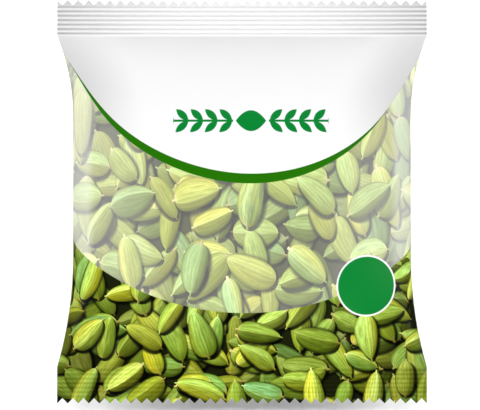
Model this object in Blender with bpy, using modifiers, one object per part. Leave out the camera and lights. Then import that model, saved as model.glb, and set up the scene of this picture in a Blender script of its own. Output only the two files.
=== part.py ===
"""Heat-sealed pillow pouch of green cardamom, lying on its back.

Metres, +Z up. The origin is under the middle of the pouch on the surface that it lies on, +X runs
across its width and +Y up its printed face. One web of film is wrapped into a tube: its two long
edges meet in a fin that is folded flat on the back, and a ribbed jaw has sealed each end, where a
zigzag knife cut it off. Cardamom pods lie loose inside.
"""

import math

import bmesh
import bpy
import numpy as np

MM = 0.001

# The knife's teeth are an eighth of an inch apart, and set the width of the pouch.
TOOTH_PITCH = 3.175 * MM
TOOTH_COUNT = 35
TOOTH_DEPTH = TOOTH_PITCH / 2
POUCH_WIDTH = TOOTH_COUNT * TOOTH_PITCH
POUCH_LENGTH = 120.4 * MM
WAIST_WIDTH = 101.4 * MM

# The ribbed seals
RIB_PITCH = 1.33 * MM
RIB_COUNT = 6
RIB_HEIGHT = 0.4 * MM
SEAL_MARGIN = 0.8 * MM
SEAL_LENGTH = TOOTH_DEPTH + RIB_COUNT * RIB_PITCH + SEAL_MARGIN
BODY_HALF = POUCH_LENGTH / 2 - SEAL_LENGTH

# How the sides draw in from each seal: over this length, along a curve of this power
TOP_DRAW_LENGTH, TOP_DRAW_POWER = 25.0 * MM, 1.8
FOOT_DRAW_LENGTH, FOOT_DRAW_POWER = 36.0 * MM, 2.2

# How the faces swell: the powers of their curves along and across the pouch, and how deep the
# back reaches before it lies flat
SWELL_POWER = 3.0
SECTION_POWER = 2.5
FLAT_SHARE = 0.85

# The film stands at this thickness, so that its wall is solid, and its layers keep this gap.
FILM = 0.3 * MM
LAYER_GAP = 0.25 * MM
LAYER = FILM + LAYER_GAP
HALF_LAYER = LAYER / 2
FIN_WIDTH = 11.0 * MM
FIN_RAMP = 2.0 * MM
FIN_EDGE_STEP = 0.4 * MM
SEAL_COVER = 0.08 * MM
SHEET_BITE = 0.6 * MM
BAR_BITE = 0.25 * MM

# Steps of the sheet's mesh, for each stretch of its section and for its length
FRONT_STEPS, BACK_STEPS, FIN_STEPS, LENGTH_STEPS = 20, 9, 2, 20

# The pods
POD_COUNT = 38
POD_SEED = 7
POD_LENGTHS = (15.5 * MM, 18.5 * MM)
POD_WIDTHS = (7.4 * MM, 8.6 * MM)
POD_SIDES, POD_RINGS = 9, 10
POD_LOBE = 0.07
POD_TRIES = 150
POD_GAP = 0.35 * MM
POD_REACH = 0.80
STALK_SHARE, STALK_WIDTH = 0.9, 0.17


def arch(wide, tall, angle):
    """The point (x, z) at this angle of an arch that is fuller than an ellipse."""
    cosine, sine = math.cos(angle), abs(math.sin(angle))
    return (
        math.copysign(wide * abs(cosine) ** (2 / SECTION_POWER), cosine),
        tall * sine ** (2 / SECTION_POWER),
    )


def arch_length(wide, tall, steps=200):
    """Length of the whole arch."""
    points = [arch(wide, tall, math.pi * i / steps) for i in range(steps + 1)]
    return sum(math.dist(p, q) for p, q in zip(points, points[1:]))


def swell_at_waist():
    """Half the thickness that the waist needs: film doesn't stretch, so its girth stays the same."""
    low, high = 0.0, WAIST_WIDTH / 2
    while high - low > 1e-3 * MM:
        middle = (low + high) / 2
        if arch_length(WAIST_WIDTH / 2, middle) < POUCH_WIDTH:
            low = middle
        else:
            high = middle
    return low


SWELL = swell_at_waist()
SEAL_PLANE = FLAT_SHARE * SWELL + HALF_LAYER + FILM / 2


def drawn_in(distance, length, power):
    """Share of the waist's draw that the side has reached this far from a seal."""
    return 1 - max(0.0, 1 - max(0.0, distance) / length) ** power


def half_width(y):
    """Half the width of the film's middle surface, to the root of its side fold."""
    share = min(
        drawn_in(BODY_HALF - y, TOP_DRAW_LENGTH, TOP_DRAW_POWER),
        drawn_in(BODY_HALF + y, FOOT_DRAW_LENGTH, FOOT_DRAW_POWER),
    )
    outside = POUCH_WIDTH / 2 - share * (POUCH_WIDTH - WAIST_WIDTH) / 2
    return outside - HALF_LAYER - FILM / 2


def swell(y):
    """How far the middle of each face stands off the seal plane."""
    return SWELL * max(0.0, 1 - abs(y / BODY_HALF) ** SWELL_POWER)


def fin_window(x):
    """1 over the fin, falling to 0 over a short ramp on both sides of it."""
    beyond = max(-FIN_WIDTH - x, x, 0.0)
    return max(0.0, 1 - beyond / FIN_RAMP)


def lowest_layer(x, y):
    """Middle surface of the lowest film at this place: it lies flat where the pouch rests."""
    wide = half_width(y)
    rise = swell(y) * max(0.0, 1 - abs(x / wide) ** SECTION_POWER) ** (1 / SECTION_POWER)
    free = SEAL_PLANE - HALF_LAYER - rise - 2 * LAYER * fin_window(x)
    return max(free, FILM / 2)


def over_fin(x, y):
    """Middle surface of the film that runs over the fin."""
    return lowest_layer(x, y) + 2 * LAYER * fin_window(x)


def spread(start, end, steps):
    """Evenly spaced numbers from start to end, both of them included."""
    return [start + (end - start) * i / steps for i in range(steps + 1)]


def section(y):
    """(x, z) points of the film's middle surface across the pouch, from one edge of the web to the other."""
    wide, tall = half_width(y), swell(y)
    points = [(x, lowest_layer(x, y)) for x in spread(-FIN_WIDTH, 0.0, FIN_STEPS)]
    for angle in spread(turn_at(FIN_RAMP, wide), 0.0, BACK_STEPS):
        x = arch(wide, tall, angle)[0]
        points.append((x, lowest_layer(x, y)))
    points.append((wide + HALF_LAYER, SEAL_PLANE))
    for angle in spread(0.0, math.pi, FRONT_STEPS):
        x, rise = arch(wide, tall, angle)
        points.append((x, SEAL_PLANE + HALF_LAYER + rise))
    points.append((-wide - HALF_LAYER, SEAL_PLANE))
    for angle in spread(0.0, turn_at(FIN_WIDTH + FIN_RAMP, wide), BACK_STEPS):
        x = -arch(wide, tall, angle)[0]
        points.append((x, over_fin(x, y)))
    points += [(x, over_fin(x, y)) for x in spread(-FIN_WIDTH, -HALF_LAYER, FIN_STEPS)]
    points.append((0.0, lowest_layer(0.0, y) + 1.5 * LAYER))
    inner_edge = -FIN_WIDTH + FIN_EDGE_STEP
    points += [(x, lowest_layer(x, y) + LAYER) for x in spread(-HALF_LAYER, inner_edge, FIN_STEPS)]
    return points


def turn_at(x, wide):
    """The angle at which the arch stands this far from its middle."""
    return math.acos((x / wide) ** (SECTION_POWER / 2))


def sheet_rows():
    """The y of each row of the sheet, closest together where the faces rise from the seals."""
    rows = [BODY_HALF * math.sin(angle) for angle in spread(-math.pi / 2, math.pi / 2, LENGTH_STEPS)]
    return [-BODY_HALF - SHEET_BITE, *rows, BODY_HALF + SHEET_BITE]


def material(name, colour, roughness):
    """A plain Principled material."""
    made = bpy.data.materials.new(name)
    made.use_nodes = True
    shader = made.node_tree.nodes["Principled BSDF"]
    shader.inputs["Base Color"].default_value = (*colour, 1)
    shader.inputs["Roughness"].default_value = roughness
    return made


def collection(name):
    """A new collection in the scene."""
    made = bpy.data.collections.new(name)
    bpy.context.scene.collection.children.link(made)
    return made


def place(name, mesh, home, finish=None):
    """A new object with this mesh, in the collection home."""
    made = bpy.data.objects.new(name, mesh)
    home.objects.link(made)
    if finish:
        mesh.materials.clear()
        mesh.materials.append(finish)
    return made


def film_sheet():
    """The film's middle surface, lofted through its sections."""
    bm = bmesh.new()
    rows = [[bm.verts.new((x, y, z)) for x, z in section(y)] for y in sheet_rows()]
    for low, high in zip(rows, rows[1:]):
        for i in range(len(low) - 1):
            bm.faces.new((low[i], low[i + 1], high[i + 1], high[i]))
    mesh = bpy.data.meshes.new("film_pouch")
    bm.to_mesh(mesh)
    bm.free()
    return mesh


def outline_solid(name, points, thickness, home):
    """A flat outline, given in X and Y, made solid through thickness along Z, as a mesh helper."""
    curve = bpy.data.curves.new(name, "CURVE")
    curve.dimensions = "2D"
    curve.fill_mode = "BOTH"
    curve.extrude = thickness / 2
    spline = curve.splines.new("POLY")
    spline.points.add(len(points) - 1)
    for point, (x, y) in zip(spline.points, points):
        point.co = (x, y, 0, 1)
    spline.use_cyclic_u = True
    drawn = bpy.data.objects.new(name, curve)
    bpy.context.scene.collection.objects.link(drawn)
    bpy.context.view_layer.update()
    graph = bpy.context.evaluated_depsgraph_get()
    mesh = bpy.data.meshes.new_from_object(drawn.evaluated_get(graph))
    bpy.data.objects.remove(drawn)
    bm = bmesh.new()
    bm.from_mesh(mesh)
    bmesh.ops.remove_doubles(bm, verts=bm.verts, dist=1e-3 * MM)
    bm.to_mesh(mesh)
    bm.free()
    made = place(name, mesh, home)
    made.hide_render = True
    made.display_type = "WIRE"
    return made


def ribbed_outline(low, high):
    """Outline of a ribbed bar, as (distance from the body, height), with its faces at low and high."""
    steps = [SEAL_MARGIN + i * RIB_PITCH / 2 for i in range(2 * RIB_COUNT + 1)]
    waves = [0.0] + [RIB_HEIGHT / 2 * (1 if i % 2 else -1) for i in range(1, 2 * RIB_COUNT)] + [0.0]
    chain = [(-BAR_BITE, 0.0), *zip(steps, waves), (SEAL_LENGTH + TOOTH_DEPTH, 0.0)]
    upper = [(d, high + wave) for d, wave in chain]
    lower = [(d, low + wave) for d, wave in reversed(chain)]
    return upper + lower


def seal_bar(name, side, low, high, left, right, home):
    """A ribbed bar across the pouch from left to right, standing off the body on this side of it."""
    made = outline_solid(name, ribbed_outline(low, high), right - left, home)
    # The outline's X runs away from the body, its Y is up, and its thickness lies along the bar.
    mesh = made.data
    middle = (left + right) / 2
    for vertex in mesh.vertices:
        away, up, along = vertex.co
        vertex.co = (middle + along, side * (BODY_HALF + away), SEAL_PLANE + up)
    bm = bmesh.new()
    bm.from_mesh(mesh)
    bmesh.ops.recalc_face_normals(bm, faces=bm.faces)
    bm.to_mesh(mesh)
    bm.free()
    return made


def knife(name, side, home):
    """What the zigzag knife takes off one end of the pouch."""
    reach = POUCH_LENGTH / 2
    ends = POUCH_WIDTH / 2 + TOOTH_PITCH
    points = [(-ends, reach)]
    for i in range(TOOTH_COUNT):
        tip = -POUCH_WIDTH / 2 + i * TOOTH_PITCH
        points += [(tip, reach), (tip + TOOTH_PITCH / 2, reach - TOOTH_DEPTH)]
    points += [(POUCH_WIDTH / 2, reach), (ends, reach)]
    points += [(ends, reach + 3 * TOOTH_DEPTH), (-ends, reach + 3 * TOOTH_DEPTH)]
    made = outline_solid(name, [(x, side * y) for x, y in points], SEAL_LENGTH, home)
    made.location.z = SEAL_PLANE
    return made


def boolean(target, name, operation, tools):
    """A Boolean modifier on target with a whole collection of tools."""
    made = target.modifiers.new(name, "BOOLEAN")
    made.operation = operation
    made.operand_type = "COLLECTION"
    made.collection = tools
    made.solver = "EXACT"


def film_pouch(home, finish):
    """The web of film with its fin, its two ribbed seals and its zigzag cuts."""
    pouch = place("film_pouch", film_sheet(), home, finish)
    wall = pouch.modifiers.new("film", "SOLIDIFY")
    wall.thickness = FILM
    wall.offset = 0
    wall.use_even_offset = True
    bars, knives = collection("seal_bars"), collection("knives")
    reach = HALF_LAYER + FILM / 2 + SEAL_COVER
    under_fin = -reach - 2 * LAYER
    half = POUCH_WIDTH / 2
    for end, side in (("top", 1), ("foot", -1)):
        seal_bar(f"{end}_bar", side, -reach, reach, -half, half, bars)
        pad_left, pad_right = -FIN_WIDTH - 2 * SEAL_COVER - FILM / 2, FIN_RAMP + FILM
        seal_bar(f"{end}_fin_bar", side, under_fin, 0.0, pad_left, pad_right, bars)
        knife(f"{end}_knife", side, knives)
    boolean(pouch, "seals", "UNION", bars)
    boolean(pouch, "zigzag", "DIFFERENCE", knives)
    return pouch


def pod_radius(along):
    """Radius of a pod of unit width at this share of its half length, from -1, its stalk, to 1, its beak."""
    if along < -STALK_SHARE:
        return STALK_WIDTH / 2
    body = (along + STALK_SHARE) / (1 + STALK_SHARE)
    return max(0.5 * math.sin(math.pi * body**0.92) ** 0.72, STALK_WIDTH / 2 * (1 - body))


def pod_mesh(name, finish):
    """A three-sided capsule of unit length and width, its axis along X, with its stalk at -X."""
    bm = bmesh.new()
    bmesh.ops.create_uvsphere(bm, u_segments=POD_SIDES, v_segments=POD_RINGS, radius=0.5)
    for vertex in bm.verts:
        x, y, z = vertex.co
        along = 1 - 2 * math.acos(max(-1.0, min(1.0, 2 * z))) / math.pi
        around = math.atan2(y, x)
        radius = 0.0 if math.hypot(x, y) < 1e-6 else pod_radius(along)
        radius *= 1 + POD_LOBE * math.cos(3 * around)
        vertex.co = (along / 2, radius * math.cos(around), radius * math.sin(around))
    mesh = bpy.data.meshes.new(name)
    bm.to_mesh(mesh)
    bm.free()
    mesh.materials.append(finish)
    mesh.shade_smooth()
    return mesh


POD_STATIONS = np.array([-0.97, -0.8, -0.6, -0.4, -0.2, 0.0, 0.2, 0.4, 0.6, 0.8, 0.97])
POD_PROFILE = np.array([pod_radius(s) for s in POD_STATIONS]) * (1 + POD_LOBE)
BALL_PROBES = [(0.0, 0.0)] + [
    (share * math.cos(turn), share * math.sin(turn))
    for share in (0.45, 0.8, 0.97)
    for turn in np.arange(8) * math.pi / 4
]


def film_under(x, y):
    """Height of the film's upper surface under this place inside the pouch."""
    film = over_fin(x, y) if x < FILM else lowest_layer(x, y)
    return film + FILM / 2


def ball_height(x, y, radius):
    """Height of the centre of a ball that rests on the back film here."""
    rest = [
        film_under(x + radius * dx, y + radius * dy) + radius * math.sqrt(max(0.0, 1 - dx * dx - dy * dy))
        for dx, dy in BALL_PROBES
    ]
    return max(rest) + POD_GAP


def pod_balls(spot, size):
    """Balls that stand for a pod at spot, as rows of x, y, z and radius, before it is dropped."""
    x, y, turn = spot
    length, width = size
    along = POD_STATIONS * length / 2
    radii = POD_PROFILE * width
    xs, ys = x + along * math.cos(turn), y + along * math.sin(turn)
    ends = [ball_height(xs[i], ys[i], radii[i]) for i in (2, -3)]
    slope = (ends[1] - ends[0]) / (along[-3] - along[2])
    zs = ends[0] + slope * (along - along[2])
    lift = max(ball_height(*ball) - z for *ball, z in zip(xs[1:-1], ys[1:-1], radii[1:-1], zs[1:-1]))
    return np.column_stack([xs, ys, zs + lift, radii]), slope


def drop_on(balls, placed):
    """How far a pod has to rise so that it lies on the pods already there."""
    rise = 0.0
    for other in placed:
        apart = np.hypot(balls[:, None, 0] - other[None, :, 0], balls[:, None, 1] - other[None, :, 1])
        reach = balls[:, None, 3] + other[None, :, 3] + POD_GAP
        over = np.sqrt(np.maximum(0.0, reach**2 - apart**2))
        needed = np.where(apart < reach, other[None, :, 2] + over - balls[:, None, 2], 0.0)
        rise = max(rise, float(needed.max()))
    return rise


def pod_spots():
    """(place, turn, slope, size) of each pod: each one takes the lowest free place of its tries."""
    draw = np.random.RandomState(POD_SEED)
    placed, found = [], []
    for _ in range(POD_COUNT):
        size = (draw.uniform(*POD_LENGTHS), draw.uniform(*POD_WIDTHS))
        best = None
        for _ in range(POD_TRIES):
            angle, share = draw.uniform(0, 2 * math.pi), POD_REACH * math.sqrt(draw.uniform())
            x = share * math.cos(angle) * WAIST_WIDTH / 2
            y = share * math.sin(angle) * BODY_HALF
            turn = draw.uniform(0, math.pi)
            if not room_for((x, y, turn), size):
                continue
            balls, slope = pod_balls((x, y, turn), size)
            rise = drop_on(balls, placed)
            height = balls[:, 2].mean() + rise
            if best is None or height < best[0]:
                balls[:, 2] += rise
                best = (height, balls, turn, slope)
        _, balls, turn, slope = best
        placed.append(balls)
        found.append((balls[len(balls) // 2, :3], turn, slope, size))
    return found


def room_for(spot, size):
    """Whether both ends of a pod here stay well inside the pouch."""
    x, y, turn = spot
    reach = size[0] / 2
    for end in (-reach, reach):
        ex, ey = x + end * math.cos(turn), y + end * math.sin(turn)
        if math.hypot(ex / (WAIST_WIDTH / 2), ey / BODY_HALF) > POD_REACH:
            return False
    return True


def pods(home, finish):
    """The loose pods, each an object of its own on one shared mesh."""
    mesh = pod_mesh("pod", finish)
    for number, (centre, turn, slope, size) in enumerate(pod_spots(), 1):
        pod = bpy.data.objects.new(f"pod_{number:02d}", mesh)
        home.objects.link(pod)
        pod.location = centre
        pod.rotation_euler = (0, -math.atan(slope), turn)
        pod.scale = (size[0], size[1], size[1])


def main():
    """Builds the pouch and what it holds."""
    for obj in list(bpy.data.objects):
        bpy.data.objects.remove(obj)
    home = collection("cardamom_pouch")
    film = material("printed_film", (0.70, 0.76, 0.52), 0.3)
    husk = material("dry_green_husk", (0.36, 0.44, 0.13), 0.7)
    film_pouch(home, film)
    pods(home, husk)


main()
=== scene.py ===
"""Looks of a heat-sealed pillow pouch of green cardamom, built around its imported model.

The pouch lies on its back on a pale table and is seen from above. Lengths are in metres. Places on
the printed film are in millimetres from the middle of its front, +X to the right and +Y up.
"""

import logging
import math
from dataclasses import dataclass, field
from enum import Enum
from typing import Sequence

import bpy
import numpy as np
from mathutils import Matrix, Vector


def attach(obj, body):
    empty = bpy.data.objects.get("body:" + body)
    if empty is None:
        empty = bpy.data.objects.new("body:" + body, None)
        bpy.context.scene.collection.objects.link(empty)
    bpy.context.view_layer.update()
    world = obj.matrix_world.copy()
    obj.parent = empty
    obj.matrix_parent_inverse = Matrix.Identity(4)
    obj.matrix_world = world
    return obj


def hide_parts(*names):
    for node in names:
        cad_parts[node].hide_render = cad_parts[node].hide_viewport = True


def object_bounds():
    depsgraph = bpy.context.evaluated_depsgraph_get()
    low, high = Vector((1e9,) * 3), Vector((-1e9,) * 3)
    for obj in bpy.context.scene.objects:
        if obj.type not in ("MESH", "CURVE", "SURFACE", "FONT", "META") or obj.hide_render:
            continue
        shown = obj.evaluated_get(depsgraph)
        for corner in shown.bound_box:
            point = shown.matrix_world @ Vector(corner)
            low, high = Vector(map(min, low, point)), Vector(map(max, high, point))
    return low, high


MM = 0.001
BAKE_MAP = "OFBake"
PRINT_MAP = "print_place"
TONE = "tone"

# The power between a colour as a screen shows it and its linear light
SCREEN_GAMMA = 2.2

# Half the softness of a printed edge, in millimetres
PRINT_BLUR = 0.06

# The free border of a map for baking
MAP_MARGIN = 0.01

# What keeps a division from failing, what makes up for rounding, and the digits that tell points apart
TINY = 1e-12
NEARLY = 1e-6
PLACE_DIGITS = 7

# Where the Mix node has its inputs and its output for vectors, and for colours
MIX_VECTORS, MIX_VECTOR = (4, 5), 1
MIX_COLOURS, MIX_COLOUR = (6, 7), 2

Pair = tuple[float, float]
Triple = tuple[float, float, float]
Colour = Triple
BLACK: Colour = (0.0, 0.0, 0.0)

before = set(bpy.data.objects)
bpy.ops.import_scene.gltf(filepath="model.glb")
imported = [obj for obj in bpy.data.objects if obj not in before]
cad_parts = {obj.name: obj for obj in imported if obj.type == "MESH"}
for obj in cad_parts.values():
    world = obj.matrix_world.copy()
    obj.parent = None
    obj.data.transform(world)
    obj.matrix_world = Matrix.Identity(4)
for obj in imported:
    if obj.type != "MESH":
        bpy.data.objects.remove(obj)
cad_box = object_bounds()
log = logging.getLogger("cardamom_pouch")


class Seal(Enum):
    """The two end seals, each with the sign of its side along Y."""

    TOP = 1
    FOOT = -1


class Panel(Enum):
    """The stretches of the web of film, in the order in which they follow each other."""

    FIN_OUTER = "the fin's outer layer, which goes on into the right half of the back"
    BACK_RIGHT = "the right half of the back"
    FRONT = "the printed front"
    BACK_LEFT = "the left half of the back, which runs over the fin"
    FIN_INNER = "the fin's inner layer"


def display(red: int, green: int, blue: int) -> Colour:
    """A colour as a screen shows it, from its 8-bit numbers."""
    return red / 255, green / 255, blue / 255


def linear(colour: Colour) -> Colour:
    """The linear light of a colour that is given as a screen shows it."""
    return tuple(channel**SCREEN_GAMMA for channel in colour)


def smooth_step(low: float, high: float, value: np.ndarray) -> np.ndarray:
    """0 below low, 1 above high and a soft rise between them."""
    share = np.clip((value - low) / (high - low), 0, 1)
    return share * share * (3 - 2 * share)


def lay_map(mesh: bpy.types.Mesh, name: str, spots: np.ndarray) -> None:
    """Adds a UV map to a mesh and makes it the active one.

    Args:
        mesh: the mesh.
        name: the map's name.
        spots: the map's place of each corner of each face.
    """
    layer = mesh.uv_layers.new(name=name)
    layer.data.foreach_set("uv", spots.astype(np.float32).ravel())
    mesh.uv_layers.active = layer
    layer.active_render = True


# Sums in a node tree


@dataclass(frozen=True)
class Term:
    """A number, vector or colour in a node tree, which sums can be written with.

    Args:
        maker: the tree that it belongs to.
        socket: the output that carries it.
    """

    maker: "NodeMaker"
    socket: bpy.types.NodeSocket

    def __add__(self, other: "Value") -> "Term":
        """The sum."""
        return self.maker.math("ADD", self, other)

    def __sub__(self, other: "Value") -> "Term":
        """The difference."""
        return self.maker.math("SUBTRACT", self, other)

    def __rsub__(self, other: "Value") -> "Term":
        """The difference from a plain number."""
        return self.maker.math("SUBTRACT", other, self)

    def __mul__(self, other: "Value") -> "Term":
        """The product."""
        return self.maker.math("MULTIPLY", self, other)

    def __truediv__(self, other: "Value") -> "Term":
        """The quotient."""
        return self.maker.math("DIVIDE", self, other)

    def __rtruediv__(self, other: "Value") -> "Term":
        """The quotient of a plain number by it."""
        return self.maker.math("DIVIDE", other, self)

    def __pow__(self, other: "Value") -> "Term":
        """The power."""
        return self.maker.math("POWER", self, other)

    def __abs__(self) -> "Term":
        """The size without its sign."""
        return self.maker.math("ABSOLUTE", self)

    __radd__ = __add__
    __rmul__ = __mul__


Value = Term | float
Inputs = dict[int | str, object]


class NodeMaker:
    """Writes the nodes of one tree."""

    def __init__(self, tree: bpy.types.NodeTree) -> None:
        """Keeps the tree that every node goes into."""
        self.tree = tree

    def feed(self, socket: bpy.types.NodeSocket, value: object) -> None:
        """Links a term to an input, or sets a plain value on it."""
        if isinstance(value, Term):
            self.tree.links.new(value.socket, socket)
        else:
            socket.default_value = value

    def node(self, kind: str, inputs: Inputs | None = None, **settings: object) -> bpy.types.Node:
        """A new node.

        Args:
            kind: the node's type.
            inputs: terms and plain values for its inputs, by their names or places.
            settings: values for its own properties.

        Returns:
            The node.
        """
        made = self.tree.nodes.new(kind)
        for name, value in settings.items():
            setattr(made, name, value)
        for place, value in (inputs or {}).items():
            self.feed(made.inputs[place], value)
        return made

    def result(
        self, kind: str, inputs: Inputs | None = None, output: int | str = 0, **settings: object
    ) -> Term:
        """This output of a new node, which takes inputs and settings as in node."""
        return Term(self, self.node(kind, inputs, **settings).outputs[output])

    def math(self, operation: str, *values: Value) -> Term:
        """The result of a Math node."""
        return self.result("ShaderNodeMath", dict(enumerate(values)), operation=operation)

    def vector(self, operation: str, *values: object) -> Term:
        """The result of a Vector Math node that gives a vector."""
        return self.result("ShaderNodeVectorMath", dict(enumerate(values)), operation=operation)

    def scaled(self, vector: Term, factor: Term) -> Term:
        """A vector times a number."""
        return self.result("ShaderNodeVectorMath", {0: vector, "Scale": factor}, operation="SCALE")

    def dot(self, vector: Term, way: Triple) -> Term:
        """How far a vector goes this way."""
        return self.result("ShaderNodeVectorMath", {0: vector, 1: way}, "Value", operation="DOT_PRODUCT")

    def turned(self, vector: object, angle: Value) -> Term:
        """A vector turned about Z."""
        given = {"Vector": vector, "Angle": angle}
        return self.result("ShaderNodeVectorRotate", given, rotation_type="Z_AXIS")

    def parts(self, vector: Term) -> tuple[Term, Term, Term]:
        """The three numbers of a vector."""
        made = self.node("ShaderNodeSeparateXYZ", {0: vector})
        return tuple(Term(self, output) for output in made.outputs)

    def flat_parts(self, vector: Term) -> tuple[Term, Term]:
        """The first two numbers of a vector."""
        return self.dot(vector, (1, 0, 0)), self.dot(vector, (0, 1, 0))

    def joined(self, x: Value, y: Value, z: Value = 0.0) -> Term:
        """A vector of three numbers."""
        return self.result("ShaderNodeCombineXYZ", {0: x, 1: y, 2: z})

    def between(self, share: Term, ends: Pair) -> Term:
        """The number at this share of the way between two."""
        return share * (ends[1] - ends[0]) + ends[0]

    def step(self, value: Value, low: Value, high: Value, start: float = 0.0, end: float = 1.0) -> Term:
        """A soft step.

        Args:
            value: what steps.
            low: where the step begins.
            high: where it ends.
            start: the result at low.
            end: the result at high.

        Returns:
            The result, from start to end.
        """
        given = dict(enumerate((value, low, high, start, end)))
        return self.result("ShaderNodeMapRange", given, interpolation_type="SMOOTHSTEP")

    def mixed(self, share: Value, under: object, over: object, blend: str = "MIX") -> Term:
        """One colour over another.

        Args:
            share: how much of the upper colour shows.
            under: the lower colour.
            over: the upper colour.
            blend: how they mix.

        Returns:
            The colour.
        """
        given = {"Factor": share}
        for place, value in zip(MIX_COLOURS, (under, over)):
            given[place] = value if isinstance(value, Term) else (*value, 1)
        return self.result("ShaderNodeMix", given, MIX_COLOUR, data_type="RGBA", blend_type=blend)

    def dimmed(self, colour: object, share: Term) -> Term:
        """A colour with this share of its light."""
        return self.mixed(1.0, colour, self.joined(share, share, share), "MULTIPLY")

    def either(self, chosen: Term, first: Term, second: Term) -> Term:
        """The first vector where chosen is 0, and the second where it is 1."""
        given = {"Factor": chosen} | dict(zip(MIX_VECTORS, (first, second)))
        return self.result("ShaderNodeMix", given, MIX_VECTOR, data_type="VECTOR")

    def dice(self, place: Term, seed: Value) -> tuple[Term, Term, Term]:
        """Three random numbers from 0 to 1 for each place and seed."""
        made = self.node("ShaderNodeTexWhiteNoise", {"Vector": place, "W": seed}, noise_dimensions="4D")
        more = Term(self, made.outputs["Color"])
        return Term(self, made.outputs["Value"]), self.dot(more, (0, 1, 0)), self.dot(more, (0, 0, 1))

    def clouds(self, place: object, scale: float, detail: float, rough: float, flat: bool = True) -> Term:
        """A vector of cloudy noises about 0.5.

        Args:
            place: where it is read.
            scale: how fine it is.
            detail: how many finer layers it has.
            rough: how strong they are.
            flat: whether it reads X and Y alone.

        Returns:
            The vector.
        """
        given = {"Vector": place, "Scale": scale, "Detail": detail, "Roughness": rough}
        return self.result("ShaderNodeTexNoise", given, "Color", noise_dimensions="2D" if flat else "3D")

    def noise(self, place: object, scale: float, detail: float, rough: float = 0.5) -> Term:
        """Cloudy noise about 0.5."""
        return self.dot(self.clouds(place, scale, detail, rough, flat=False), (1, 0, 0))

    def ramp(self, value: Term, colours: Sequence[Colour]) -> Term:
        """A colour from an even row of them."""
        made = self.node("ShaderNodeValToRGB", {0: value})
        stops = made.color_ramp.elements
        while len(stops) < len(colours):
            stops.new(0.5)
        for i, colour in enumerate(colours):
            stops[i].position = i / (len(colours) - 1)
            stops[i].color = (*colour, 1)
        return Term(self, made.outputs["Color"])

    def bump(self, shader: bpy.types.Node, height: Term, strength: float, distance: float) -> None:
        """Lets a shader's surface rise and fall with a height."""
        given = {"Strength": strength, "Distance": distance, "Height": height}
        self.feed(shader.inputs["Normal"], self.result("ShaderNodeBump", given))


# The printed picture


@dataclass(frozen=True)
class PodLayer:
    """One layer of the printed pile.

    Args:
        cell: the side of the square that each of its pods has to itself, in millimetres.
        bright: how much light reaches it, from 0 deep down to 1 on top.
    """

    cell: float
    bright: float


@dataclass(frozen=True)
class Wash:
    """A colour that is washed over a husk where a measure of it passes a limit.

    Args:
        colour: the colour.
        start: the measure at which it begins.
        full: the measure at which it is full.
        share: how much of it shows there.
    """

    colour: Colour
    start: float
    full: float
    share: float

    def over(self, maker: NodeMaker, measure: Term, under: Term) -> Term:
        """The husk's colour with the wash over it."""
        return maker.mixed(maker.step(measure, self.start, self.full) * self.share, under, self.colour)


@dataclass(frozen=True)
class DrawnPod:
    """The printed pod of one square.

    Args:
        spot: the place on the film, counted from the pod's middle.
        angle: the way that it lies.
        half_length: half its length, in millimetres.
        half_width: half its width.
        blunt: the power of its ends, which are blunter for a small one.
        taper: how much narrower it is at its beak.
        bend: a random number from 0 to 1 for how it is bowed.
        hue: one for which green it has.
        tone: one for how light it is.
        ridge: one for where its ridge runs.
        mark: one for its stubs and its facets.
    """

    spot: Term
    angle: Term
    half_length: Term
    half_width: Term
    blunt: Term
    taper: Term
    bend: Term
    hue: Term
    tone: Term
    ridge: Term
    mark: Term


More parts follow.
